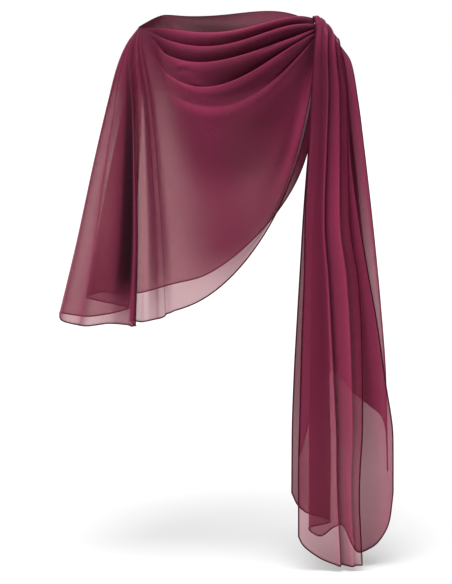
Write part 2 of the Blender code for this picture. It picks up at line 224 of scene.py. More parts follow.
def sheerCloth(name):
    made, tree = newTree(name)
    uv = add(tree, "UVMap", {"uv_map": "cloth"}, {})["UV"]
    # the second attribute is painted light: painted shade in the folds' hollows and painted highlights
    # on their ridges
    gather, tone = (
        add(tree, "Attribute", {"attribute_name": look}, {})["Fac"] for look in ("gather", "tone")
    )
    drawn = [add(tree, "Mapping", {}, {"Vector": uv, "Scale": chiffon[n]}) for n in ("slubs", "picks")]
    slubs, picks = (
        add(tree, "TexNoise", {}, {"Vector": m["Vector"], "Scale": 1.0, "Detail": 2.0})["Fac"]
        for m in drawn
    )
    warp, weft = (
        add(tree, "TexWave", {"bands_direction": way}, {"Vector": uv, "Scale": chiffon["weave"]})["Fac"]
        for way in ("X", "Y")
    )
    bump = add(tree, "Bump", {}, {"Height": warp * weft, **chiffon["relief"]})["Normal"]
    facing = 1 - add(tree, "LayerWeight", {}, {"Blend": 0.5})["Facing"]
    limits = {0: facing, 1: chiffon["leastFacing"]}
    slope = 1 / add(tree, "Math", {"operation": "MAXIMUM"}, limits)["Value"]
    gaps = (1 - chiffon["cover"]) ** (slope * gather)  # seen slantwise, the yarns close up
    factor = (1 - gaps) * (1 - chiffon["slub"] + chiffon["slub"] * (slubs + picks))
    plain, slubbed = chiffon["shade"]
    # the yarn's colour, scaled by the painted light and shade of the folds and by its slubs
    shade = {"Vector": chiffon["thread"], "Scale": tone * (plain + slubbed * slubs)}
    colour = add(tree, "VectorMath", {"operation": "SCALE"}, shade)["Vector"]
    yarnSockets = {"Base Color": colour, "Normal": bump, **chiffon["yarn"]}
    yarn = add(tree, "BsdfPrincipled", {}, yarnSockets)["BSDF"]
    through = add(tree, "BsdfTransparent", {}, {"Color": chiffon["tint"]})["BSDF"]
    mixed = add(tree, "MixShader", {}, {0: factor, 1: through, 2: yarn})["Shader"]
    add(tree, "OutputMaterial", {}, {"Surface": mixed})
    return made


hemLook = {
    "dark": (0.024, 0.002, 0.007, 1),
    "light": (0.050, 0.005, 0.014, 1),
    "stitches": 900.0,
    "relief": {"Strength": 0.4, "Distance": 0.0003},
    "yarn": {"Roughness": 0.8, "Specular IOR Level": 0.02},
}


def hemMaterial(name):
    made, tree = newTree(name)
    place = add(tree, "TexCoord", {}, {})["Object"]
    grain = {"Vector": place, "Scale": hemLook["stitches"], "Detail": 2.0}
    stitch = add(tree, "TexNoise", {}, grain)["Fac"]
    bump = add(tree, "Bump", {}, {"Height": stitch, **hemLook["relief"]})["Normal"]
    colours = {"Factor": stitch, "A": hemLook["dark"], "B": hemLook["light"]}
    tone = add(tree, "Mix", {"data_type": "RGBA"}, colours)
    mixed = Val(tree, tone.node.outputs[2])  # a Mix node's third result is its colour
    yarnSockets = {"Base Color": mixed, "Normal": bump, **hemLook["yarn"]}
    yarn = add(tree, "BsdfPrincipled", {}, yarnSockets)["BSDF"]
    add(tree, "OutputMaterial", {}, {"Surface": yarn})
    return made


cloth = sheerCloth("chiffon")
hem = hemMaterial("rolledHem")


def meshOf(name, built):
    mesh = bpy.data.meshes.new(name)
    built.to_mesh(mesh)
    built.free()
    return mesh


def writeLook(mesh, look, values):
    layer = mesh.attributes.new(look, "FLOAT", "POINT")
    layer.data.foreach_set("value", values)


def finishPiece(name, mesh, material):
    mesh.shade_smooth()
    mesh.materials.append(material)
    made = placed(name, mesh)
    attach(made, "root")
    return made


sheets = {
    "wall": 0.5,  # in mm
    "ridgeReach": 4,  # a ridge is what stands proud of its surroundings, this many points away
    "ridgeLight": 0.05,  # painted highlight: how much lighter the cloth is painted for each mm that it stands proud; where it sinks, painted shade
    "ridgeLimits": (0.5, 1.6),
}


def normalsOf(points):
    normals = np.cross(np.gradient(points, axis=1), np.gradient(points, axis=0))
    return normals / np.maximum(np.linalg.norm(normals, axis=2, keepdims=True), 1e-9)


def blurred(values, reach):
    wide = 3 * reach
    weight = np.exp(-((np.arange(-wide, wide + 1) / reach) ** 2) / 2)
    weight /= weight.sum()
    for axis in (0, 1):
        pad = [(0, 0)] * values.ndim
        pad[axis] = (wide, wide)
        padded = np.pad(values, pad, mode="reflect", reflect_type="odd")
        count = values.shape[axis]
        take = [np.take(padded, range(k, k + count), axis) for k in range(2 * wide + 1)]
        values = sum(w * part for w, part in zip(weight, take))
    return values


def sheetFrom(name, points, looks):  # points: [column][row][xyz], in mm
    # painted highlights on the ridges and painted shade in the hollows, from how far the cloth stands
    # proud of its blurred self
    ridge = ((points - blurred(points, sheets["ridgeReach"])) * normalsOf(points)).sum(axis=2)
    light = np.clip(1 + ridge * sheets["ridgeLight"], *sheets["ridgeLimits"])
    looks = dict(looks, tone=looks["tone"] * light)
    points = points * mm
    columns, rows = points.shape[:2]
    across = np.linalg.norm(np.diff(points, axis=0), axis=2).mean(axis=1)
    downward = np.linalg.norm(np.diff(points, axis=1), axis=2).mean(axis=0)
    u = np.append(0, across.cumsum())
    v = np.append(0, downward.cumsum())
    grid = bmesh.new()
    bmesh.ops.create_grid(grid, x_segments=columns - 1, y_segments=rows - 1, size=0.5)
    uv = grid.loops.layers.uv.new("cloth")
    place = {}
    for vert in grid.verts:
        i = round((vert.co.x + 0.5) * (columns - 1))
        j = round((vert.co.y + 0.5) * (rows - 1))
        place[vert] = (i, j)
        vert.co = points[i, j]
    for face in grid.faces:
        for loop in face.loops:
            i, j = place[loop.vert]
            loop[uv].uv = (u[i], v[j])
    order = [place[vert] for vert in grid.verts]
    mesh = meshOf(name, grid)
    for look, values in looks.items():
        writeLook(mesh, look, [values[spot] for spot in order])
    made = finishPiece(name, mesh, cloth)
    wall = made.modifiers.new("wall", "SOLIDIFY")
    wall.thickness = sheets["wall"] * mm
    wall.offset = 0
    return made


rolled = {"neck": 0.7, "lower": 1.25, "tails": 1.35, "sides": 3}  # radii in mm, and roundness


def hemAlong(name, path, radius):  # a rolled hem along an edge of the cloth
    curve = bpy.data.curves.new(name, "CURVE")
    curve.dimensions = "3D"
    curve.bevel_depth = radius * mm
    curve.bevel_resolution = rolled["sides"] - 1
    curve.use_fill_caps = True
    spline = curve.splines.new("POLY")
    spline.points.add(len(path) - 1)
    for point, spot in zip(spline.points, path * mm):
        point.co = (*spot, 1)
    drawn = placed(name, curve)
    mesh = bpy.data.meshes.new_from_object(drawn)
    bpy.data.objects.remove(drawn)
    mesh.materials.clear()
    return finishPiece(name, mesh, hem)


print("materials made")

# ---- the cloth round the body: chest, arm and back in one length

strandColumns = "name down knotX knotZ midX z1 z2 z3 arm depth proud reach gather tone"

front = {
    # down: the share of the way from the neck to the hem; arm: the same, where the strand meets
    # the arm; z1, z2, z3: its height a quarter, half and three quarters of the way there
    # depth: how far it bows away from the body's middle; proud: how far its fold stands out, and
    # reach: up to where; gather: how many times denser than flat the cloth lies
    # the last column is painted light and shade: how much light its folds are painted to keep, less in
    # the pockets, more on the ridges
    "columns": strandColumns,
    "rows": [
        ("neck edge", 0.000, 150, 50, -9, 35, 16, 17, 0.000, 90, 0, 1.0, 2.6, 1.05),
        ("neck roll", 0.014, 149, 47, -9, 33, 13, 14, 0.003, 95, 4, 1.0, 2.6, 1.15),
        ("bulge 0", 0.034, 148, 43, -9, 27, 6, 5, 0.006, 98, 5, 1.0, 2.8, 0.7),
        ("pocket 1", 0.064, 147, 38, -9, 13, -13, -13, 0.010, 98, -9, 1.0, 3.0, 0.45),
        ("ridge 1", 0.080, 147, 36, -9, 17, -7, -8, 0.013, 103, 6, 1.0, 3.0, 1.5),
        ("bulge 1", 0.102, 146, 32, -9, 8, -18, -19, 0.018, 108, 11, 1.0, 3.0, 0.62),
        ("pocket 2", 0.138, 146, 28, -9, -13, -42, -43, 0.026, 110, -12, 1.0, 3.0, 0.45),
        ("ridge 2", 0.157, 147, 24, -9, -9, -33, -37, 0.034, 117, 9, 1.0, 2.8, 1.6),
        ("bulge 2", 0.184, 147, 20, -9, -19, -47, -51, 0.050, 123, 12, 0.9, 3.0, 0.72),
        ("pocket 3", 0.232, 148, 16, -9, -40, -84, -80, 0.085, 126, -14, 0.72, 3.0, 0.45),
        ("ridge 3", 0.252, 148, 13, -9, -34, -75, -78, 0.095, 133, 10, 0.72, 2.8, 1.6),
        ("bulge 3", 0.277, 149, 10, -4, -45, -88, -90, 0.120, 137, 11, 0.72, 3.4, 0.7),
        ("pocket 4", 0.315, 150, 5, 4, -68, -108, -110, 0.170, 139, -7, 0.40, 3.4, 0.6),
        ("ridge 4", 0.330, 150, 3, 6, -66, -113, -117, 0.185, 141, 7, 0.40, 3.8, 1.2),
        ("under ridge 4", 0.352, 150, 2, 8, -77, -128, -134, 0.215, 143, 5, 0.50, 3.8, 0.66),
        ("upper panel", 0.430, 151, -1, 17, -115, -182, -195, 0.330, 147, 3, 0.85, 3.3, 0.66),
        ("middle panel", 0.580, 152, -4, 35, -161, -258, -288, 0.530, 149, -2, 0.85, 2.1, 0.98),
        ("lower panel", 0.750, 152, -7, 50, -187, -307, -363, 0.735, 147, 2, 0.85, 2.35, 0.92),
        ("side fold", 0.930, 153, -12, 68, -180, -313, -405, 0.950, 143, 6, 0.80, 1.15, 1.0),
        ("hem", 1.000, 156, -22, 72, -189, -321, -425, 1.000, 138, -16, 0.55, 1.0, 1.0),
    ],
    "steps": 132,
    # how much denser the cloth is there, how much painted shade darkens it, and over what share of the
    # way
    "byKnot": {"denser": 2.2, "width": 0.15, "low": 5, "lowFrom": 0.75, "darker": 0.35, "dark": 0.12},
    "byShoulder": {"denser": 0.45, "at": 0.68, "width": 0.12},
}

back = {
    "columns": strandColumns,
    "rows": [
        ("neck edge", 0.000, 152, 33, 15, 53, 50, 44, 0.000, 75, 2, 1.0, 4.2, 1.05),
        ("trough 0", 0.050, 153, 30, 8, 30, 29, 32, 0.010, 86, -4, 1.0, 3.0, 1.1),
        ("fold 1", 0.130, 154, 26, 2, 1, -6, 2, 0.062, 98, 9, 1.0, 2.8, 1.1),
        ("trough 1", 0.205, 155, 22, 12, -30, -50, -39, 0.178, 104, -6, 1.0, 2.7, 0.9),
        ("fold 2", 0.330, 156, 17, 36, -61, -105, -115, 0.310, 109, 9, 0.95, 2.2, 1.0),
        ("trough 2", 0.460, 157, 13, 58, -97, -165, -191, 0.430, 112, -5, 0.90, 1.8, 1.0),
        ("fold 3", 0.620, 158, 9, 78, -132, -226, -272, 0.610, 112, 8, 0.90, 1.6, 1.0),
        ("lower panel", 0.800, 159, 4, 90, -161, -280, -352, 0.800, 106, -2, 0.85, 1.3, 1.0),
        ("hem", 1.000, 161, 0, 92, -212, -325, -420, 1.000, 95, 0, 1.0, 1.3, 1.0),
    ],
    "steps": 80,
    # near the knot the back is denser, and painted shade darkens it where it lies in shadow inside the
    # cape
    "byKnot": {"denser": 7, "width": 0.24, "full": 0.25, "darker": 0.4, "dark": 0.2},
    "byMiddle": {"denser": 0.9, "at": 0.42, "width": 0.2},
}
bodyRows = {"fine": 0.0055, "coarse": 0.0165, "fineTo": 0.33}  # steps from the neck to the hem
armLookFrom = 0.76  # of the way to the arm: from here on the cloth takes on the arm's look

knotShape = {
    "centre": (161, -8, 8),
    "half": (15, 30, 33),
    "skin": 0.9,  # how far outside it the strands end
    "rings": 36,
    "pleats": 9,
    "depth": 2.35,  # of a pleat, in mm, where the knot is thinnest
    "twist": 4,  # how far the wave of pleats turns from the middle to an end, in radians
    "less": 0.03,  # how much smaller than "half" the knot is, as a share
    "pressed": {"x": 0.7, "z": 0.9},  # under the nearest loose end
    # the knot is painted darker: painted shade under the front tail
    "looks": {"gather": 3.5, "tone": 0.55},
}
knotEnds = {"neck": -14, "front": -42, "side": -24, "back": 22}  # the y where strands come in
knotTurns = {"front": 0.12, "side": 0.9}  # where they have come to the front, and leave it again
turnIn = 0.14  # the last share of a stretch, in which it turns into the arm's direction
armHint = 3  # mm round the arm, for its direction there
short = 1e-3  # a share of the way, for slopes
swells = {"least": 0.15, "rise": 0.2, "fall": 0.4}  # shares of the way, for how a fold stands out

armRings = {
    # frontX to backY: where the ring meets chest and back; outX: how far out it goes
    "columns": "name down frontX frontY backX backY outX gather",
    "rows": [
        ("shoulder top", 0.00, -162, -18, -124, 36, -166, 3.8),
        ("shoulder", 0.05, -161, -50, -126, 54, -187, 3.2),
        ("upper arm", 0.12, -153, -76, -128, 68, -205, 2.2),
        ("arm", 0.25, -138, -102, -128, 84, -226, 1.4),
        ("elbow", 0.50, -122, -123, -127, 98, -261, 1.07),
        ("forearm", 0.75, -110, -131, -126, 105, -292, 1.02),
        ("hem", 1.00, -102, -135, -125, 108, -326, 0.95),
    ],
    "topZ": (22, 46),  # the height of the shoulder's cloth, in front and behind
}

armFolds = {
    # cloth: mm round the arm, on the flat cloth; ring: where on the ring it comes to lie
    # the last column is painted light and shade: the dark hollow is painted almost black, the soft
    # ridges lighter
    "columns": "name cloth ring proud hemZ gather tone",
    "rows": [
        ("chest panel", 0, 0.000, 0, -485, 1.25, 1.0),
        ("chest panel edge", 4, 0.005, 0, -486, 1.4, 1.0),
        ("small fold, slope", 13, 0.016, -2, -490, 1.9, 0.9),
        ("small fold, under", 25, 0.028, -5, -493, 2.6, 0.75),
        ("small fold, edge", 34, 0.031, -1, -496, 2.2, 0.95),
        ("small fold, top", 52, 0.044, 0, -500, 2.4, 0.85),
        ("furrow", 68, 0.060, -6, -503, 3.4, 0.55),
        ("soft ridge", 88, 0.084, 1, -506, 0.8, 1.3),
        ("into the knife fold", 106, 0.100, -3, -508, 0.6, 1.3),
        ("behind the knife fold", 130, 0.120, -7, -507, 0.9, 0.95),
        ("knife fold, under", 168, 0.136, -8, -508, 1.3, 0.8),
        ("knife fold, turn", 210, 0.109, 4, -514, 2.4, 0.9),
        ("knife fold, top", 228, 0.124, 1, -516, 3.2, 0.75),
        ("dark hollow", 242, 0.141, -6, -515, 8.0, 0.04),
        ("dark hollow, side", 264, 0.178, -6, -514, 6.5, 0.1),
        ("hollow's edge", 280, 0.199, -4, -514, 3.0, 0.6),
        ("arm hollow", 296, 0.238, -1, -518, 1.5, 0.85),
        ("arm ridge", 312, 0.268, 5, -521, 1.0, 1.0),
        ("outer hollow", 350, 0.335, -4, -523, 0.9, 0.85),
        ("outer ridge", 390, 0.410, 5, -519, 0.9, 0.92),
        ("outer side", 438, 0.500, 0, -511, 0.9, 1.0),
        ("elbow ridge", 480, 0.580, 5, -516, 0.8, 1.0),
        ("elbow hollow", 516, 0.650, -5, -524, 0.7, 0.9),
        ("back fold, side", 562, 0.740, -5, -531, 0.5, 0.9),
        ("back fold, under", 600, 0.820, -9, -527, 0.4, 0.9),
        ("back fold, inner turn", 636, 0.880, -6, -519, 0.35, 0.9),
        ("back fold, outer turn", 728, 0.728, 4, -494, 0.35, 1.0),
        ("back fold, top", 764, 0.795, 9, -487, 0.5, 1.0),
        ("back fold, slope", 812, 0.871, 12, -492, 0.75, 1.0),
        ("back panel edge", 838, 0.910, 8, -492, 1.0, 1.0),
        ("back panel side", 862, 0.960, 1, -484, 1.0, 1.0),
        ("back panel", 890, 1.000, 0, -476, 1.0, 1.0),
    ],
    "loop": {"cloth": 4.5, "back": 0.0055, "rise": 1.8},
    "spread": 0.18,  # over this share of the arm's length the folds spread sideways
    "rise": 0.10,  # and over this one they rise
    "step": 5.0,
}
wholeArm = armFolds["rows"][-1][1]
turns = looped(armFolds, "ring", "proud", armFolds["loop"])
armLooks = {
    # begin: over which share of the arm's length a fold gets its look
    # lost, from: how much of it goes again at the hem, and from where
    "gather": {"begin": 0.06, "lost": 0.85, "from": 0.70},
    "tone": {"begin": 0.12, "lost": 0.80, "from": 0.82},
    # painted shade over the front of the shoulder top and painted light behind it, fading down the arm
    "shoulder": {"tone": -0.64, "behind": 1.0, "length": 0.20},
}


def armPoint(run, down):
    rise = begun(down, armFolds["rise"])
    spread = begun(down, armFolds["spread"])
    folded, proud, hemZ = (smooth(turns["cloth"], turns[n], run) for n in ("ring", "proud", "hemZ"))
    even = run / wholeArm
    turn = np.pi * (even + (folded - even) * spread - 0.5)
    behind = (1 + np.sin(turn)) / 2
    ring = {n: read(armRings, "down", n, down) for n in armRings["columns"].split()[2:7]}
    reachOut = (ring["frontX"] + ring["backX"]) / 2 - ring["outX"]
    x = ring["frontX"] + (ring["backX"] - ring["frontX"]) * behind - reachOut * np.cos(turn)
    y = ring["frontY"] + (ring["backY"] - ring["frontY"]) * behind
    x = x - proud * rise * np.cos(turn)
    y = y + proud * rise * np.sin(turn)
    low, high = armRings["topZ"]
    topZ = low + (high - low) * behind**2
    return np.stack([x, y, topZ + (hemZ - topZ) * down], axis=-1)


def knotEnd(strands, down, facing):
    y = knotEnds["back"] + 0 * down
    if facing < 0:
        toFront = ease(down / knotTurns["front"])
        y = knotEnds["neck"] + (knotEnds["front"] - knotEnds["neck"]) * toFront
        y = y + (knotEnds["side"] - knotEnds["front"]) * ease(after(knotTurns["side"], down))
    x, z = (read(strands, "down", name, down) for name in ("knotX", "knotZ"))
    centre = np.array(knotShape["centre"])
    off = np.stack([x, y, z], axis=-1) - centre
    skin = np.array(knotShape["half"]) + knotShape["skin"]
    return centre + off / np.linalg.norm(off / skin, axis=-1, keepdims=True)


def strandPoint(strands, along, down, armEnd, facing):
    knotX, knotY, knotZ = knotEnd(strands, down, facing).T
    midX = read(strands, "down", "midX", down)
    x = knotX * (1 - along) * (1 - 2 * along) + armEnd[..., 0] * along * (2 * along - 1)
    x = x + 4 * midX * along * (1 - along)
    heights = [knotZ, *(read(strands, "down", n, down) for n in ("z1", "z2", "z3")), armEnd[..., 2]]
    stations = (0, 0.25, 0.5, 0.75, 1)
    z = 0
    for height, s in zip(heights, stations):  # one smooth curve through the five heights
        others = [o for o in stations if o != s]
        z = z + height * np.prod([(along - o) / (s - o) for o in others], axis=0)
    dipY = facing * read(strands, "down", "depth", down)
    leaving = knotY + (dipY - knotY) * (1 - (1 - 2 * along) ** 2)
    arriving = dipY + (armEnd[..., 1] - dipY) * ease(2 * along - 1)
    y = np.where(along < 0.5, leaving, arriving)
    reach = read(strands, "down", "reach", down)
    swell = ease(swells["least"] + along / swells["rise"])
    swell = swell * (1 - ease(1 + (along - reach) / swells["fall"]))
    y = y + facing * read(strands, "down", "proud", down) * swell
    return np.stack([x, y, z], axis=-1)


def stretchPoint(strands, run, facing, along, down):
    armDown = read(front, "down", "arm", down)
    armEnd = armPoint(run + 0 * down, armDown)
    on = armPoint(run - armHint * facing + 0 * down, armDown) - armEnd
    on = on / np.linalg.norm(on, axis=-1, keepdims=True)
    last = (armEnd - strandPoint(strands, 1 - short + 0 * along, down, armEnd, facing)) / short
    wanted = on * np.linalg.norm(last, axis=-1, keepdims=True)
    t = after(1 - turnIn, along)[:, None]
    point = strandPoint(strands, along, down, armEnd, facing)
    return point + (last - wanted) * turnIn * t * t * (1 - t)


def gridOf(place, columns, rows):
    c, r = (grid.ravel() for grid in np.meshgrid(columns, rows, indexing="ij"))
    return place(c, r).reshape(len(columns), len(rows), 3)


def armLook(name, runs, rows):
    spec = armLooks[name]
    kept = begun(rows, spec["begin"]) * (1 - spec["lost"] * ease(after(spec["from"], rows)))
    look = 1 + (smooth(turns["cloth"], turns[name], runs)[:, None] - 1) * kept
    if name == "gather":
        return look * read(armRings, "down", name, rows)
    # painted shade on the front of the shoulder top, painted light behind it
    light = armLooks["shoulder"]
    paintedShoulderLight = light["tone"] + light["behind"] * ease(runs / wholeArm)
    return look * (1 + np.exp(-rows / light["length"]) * paintedShoulderLight[:, None])


def chestLook(name, share, rows):  # the cloth is gathered into the knot
    knotted, shoulder = front["byKnot"], front["byShoulder"]
    look = read(front, "down", name, rows)
    # painted shade: the cloth is painted darker where it goes into the knot
    if name == "tone":
        return look * (1 - knotted["darker"] * bell(share, 0, knotted["dark"]))
    most = knotted["denser"] + knotted["low"] * ease(after(knotted["lowFrom"], rows))
    atShoulder = shoulder["denser"] * bell(share, shoulder["at"], shoulder["width"])
    return look * (1 + most * bell(share, 0, knotted["width"]) + atShoulder)


def backLook(name, share, rows):
    knotted, middle = back["byKnot"], back["byMiddle"]
    look = read(back, "down", name, rows)
    # painted shade: the back is painted darker where it goes into the knot
    if name == "tone":
        return look * (1 - knotted["darker"] * bell(share, 0, knotted["dark"]))
    most = knotted["denser"] * ease(rows / knotted["full"])
    atMiddle = middle["denser"] * rows * bell(share, middle["at"], middle["width"])
    return look * (1 + most * bell(share, 0, knotted["width"])) * (1 + atMiddle)


def bodyGrid():
    shares, fineTo = col(front, "down"), bodyRows["fineTo"]
    upper = steps(shares[shares <= fineTo], bodyRows["fine"])
    rows = np.unique(np.append(upper, steps(shares[shares >= fineTo], bodyRows["coarse"])))
    armRows = read(front, "down", "arm", rows)
    armRuns = steps(turns["cloth"], armFolds["step"])
    share, backShare = (np.linspace(0, 1, part["steps"] + 1) for part in (front, back))
    chest = gridOf(lambda a, d: stretchPoint(front, 0, -1, a, d), share, rows)
    arm = gridOf(armPoint, armRuns, armRows)
    behind = gridOf(lambda a, d: stretchPoint(back, wholeArm, 1, a, d), backShare, rows)[::-1]
    looks = {}
    for name in ("gather", "tone"):
        onArm = armLook(name, armRuns, armRows)
        onChest = chestLook(name, share[:, None], rows)
        onBack = backLook(name, backShare[:, None], rows)
        onChest = onChest + (onArm[0] - onChest) * ease(after(armLookFrom, share))[:, None]
        onBack = onBack + (onArm[-1] - onBack) * ease(after(armLookFrom, backShare))[:, None]
        looks[name] = np.concatenate([onChest[:-1], onArm, onBack[-2::-1]])
    return np.concatenate([chest[:-1], arm, behind[1:]]), looks, len(chest) - 1


# small folds of the chest: each is a soft line through three points of the front view
smallFolds = {
    "columns": "name x1 z1 x2 z2 x3 z3 width height",
    "rows": [
        ("oval wrinkle", -104, -51, -88, -45, -68, -50, 4, 3),
        ("under the oval wrinkle", -104, -57, -88, -51, -66, -57, 4, -2.5),
        ("oval lip", -100, -66, -82, -62, -60, -70, 5, 3),
        ("small ridge", -82, -70, -66, -77, -50, -81, 4, 3.5),
        ("under the small ridge", -78, -76, -64, -83, -46, -87, 4, -2.5),
        ("wrinkle on the second bulge", 40, -12, 66, -2, 92, 12, 4, 3),
        ("its hollow", 44, -19, 70, -9, 96, 5, 4, -4),
        ("wrinkle by the knot", 84, -22, 108, -8, 130, 12, 3.5, 3),
        ("its hollow", 86, -30, 110, -16, 132, 4, 3.5, -4),
        ("slit above ridge 4", 66, -86, 90, -62, 118, -36, 4, -5),
        ("fold under ridge 4", 60, -112, 86, -88, 116, -58, 5, 3.5),
        ("upper arc", -40, -136, 28, -158, 92, -128, 12, -3),
        ("lower arc", -10, -222, 40, -238, 96, -200, 14, -2),
        ("long fold by the edge", 138, -62, 116, -170, 84, -270, 7, 3),
        ("its hollow", 126, -70, 100, -180, 66, -270, 9, -3),
    ],
    "marks": 24,  # points on a line
    "ends": 0.06,  # a line's height follows a half wave, less this share at each end
    "light": 0.08,  # painted highlight: how much lighter the cloth is painted for each mm that a fold stands out; painted shade where it sinks
    "lightLimits": (0.4, 1.8),
    "facing": (1.6, 0.6),  # a fold fades where the cloth turns under
}


def curveOf(a, b, c, t):  # through a, b half-way, and c
    return a * (1 - t) ** 2 + 2 * (2 * b - (a + c) / 2) * t * (1 - t) + c * t**2


def pressFolds(points, looks, table, last):
    part = points[:last]
    normals = normalsOf(part)
    offset = np.zeros(part.shape[:2])
    t = np.linspace(0, 1, table["marks"])
    for _, x1, z1, x2, z2, x3, z3, width, height in table["rows"]:
        pathX, pathZ = curveOf(x1, x2, x3, t), curveOf(z1, z2, z3, t)
        far = np.hypot(part[..., 0, None] - pathX, part[..., 2, None] - pathZ)
        nearest = far.argmin(axis=2)
        fade = np.sin(np.pi * (table["ends"] + (1 - 2 * table["ends"]) * t[nearest]))
        offset += height * fade * bell(far.min(axis=2), 0, width)
    side = np.sign(-normals[..., 1:2].mean())
    steep, less = table["facing"]
    facing = np.clip(steep * np.abs(normals[..., 1]) - less, 0, 1)
    points[:last] = part + normals * (offset * facing)[..., None] * side
    # painted highlights on the small folds and painted shade in their hollows
    looks["tone"][:last] *= np.clip(1 + table["light"] * offset, *table["lightLimits"])


bodyPoints, bodyLooks, chestColumns = bodyGrid()
pressFolds(bodyPoints, bodyLooks, smallFolds, chestColumns)
bodyCloth = sheetFrom("bodyCloth", bodyPoints, bodyLooks)
neckHem = hemAlong("neckHem", bodyPoints[:, 0], rolled["neck"])
lowerHem = hemAlong("lowerHem", bodyPoints[:, -1], rolled["lower"])
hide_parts("drape_front", "drape_arm", "drape_back")
print("body cloth made,", bodyPoints.shape)

# ---- the loose ends

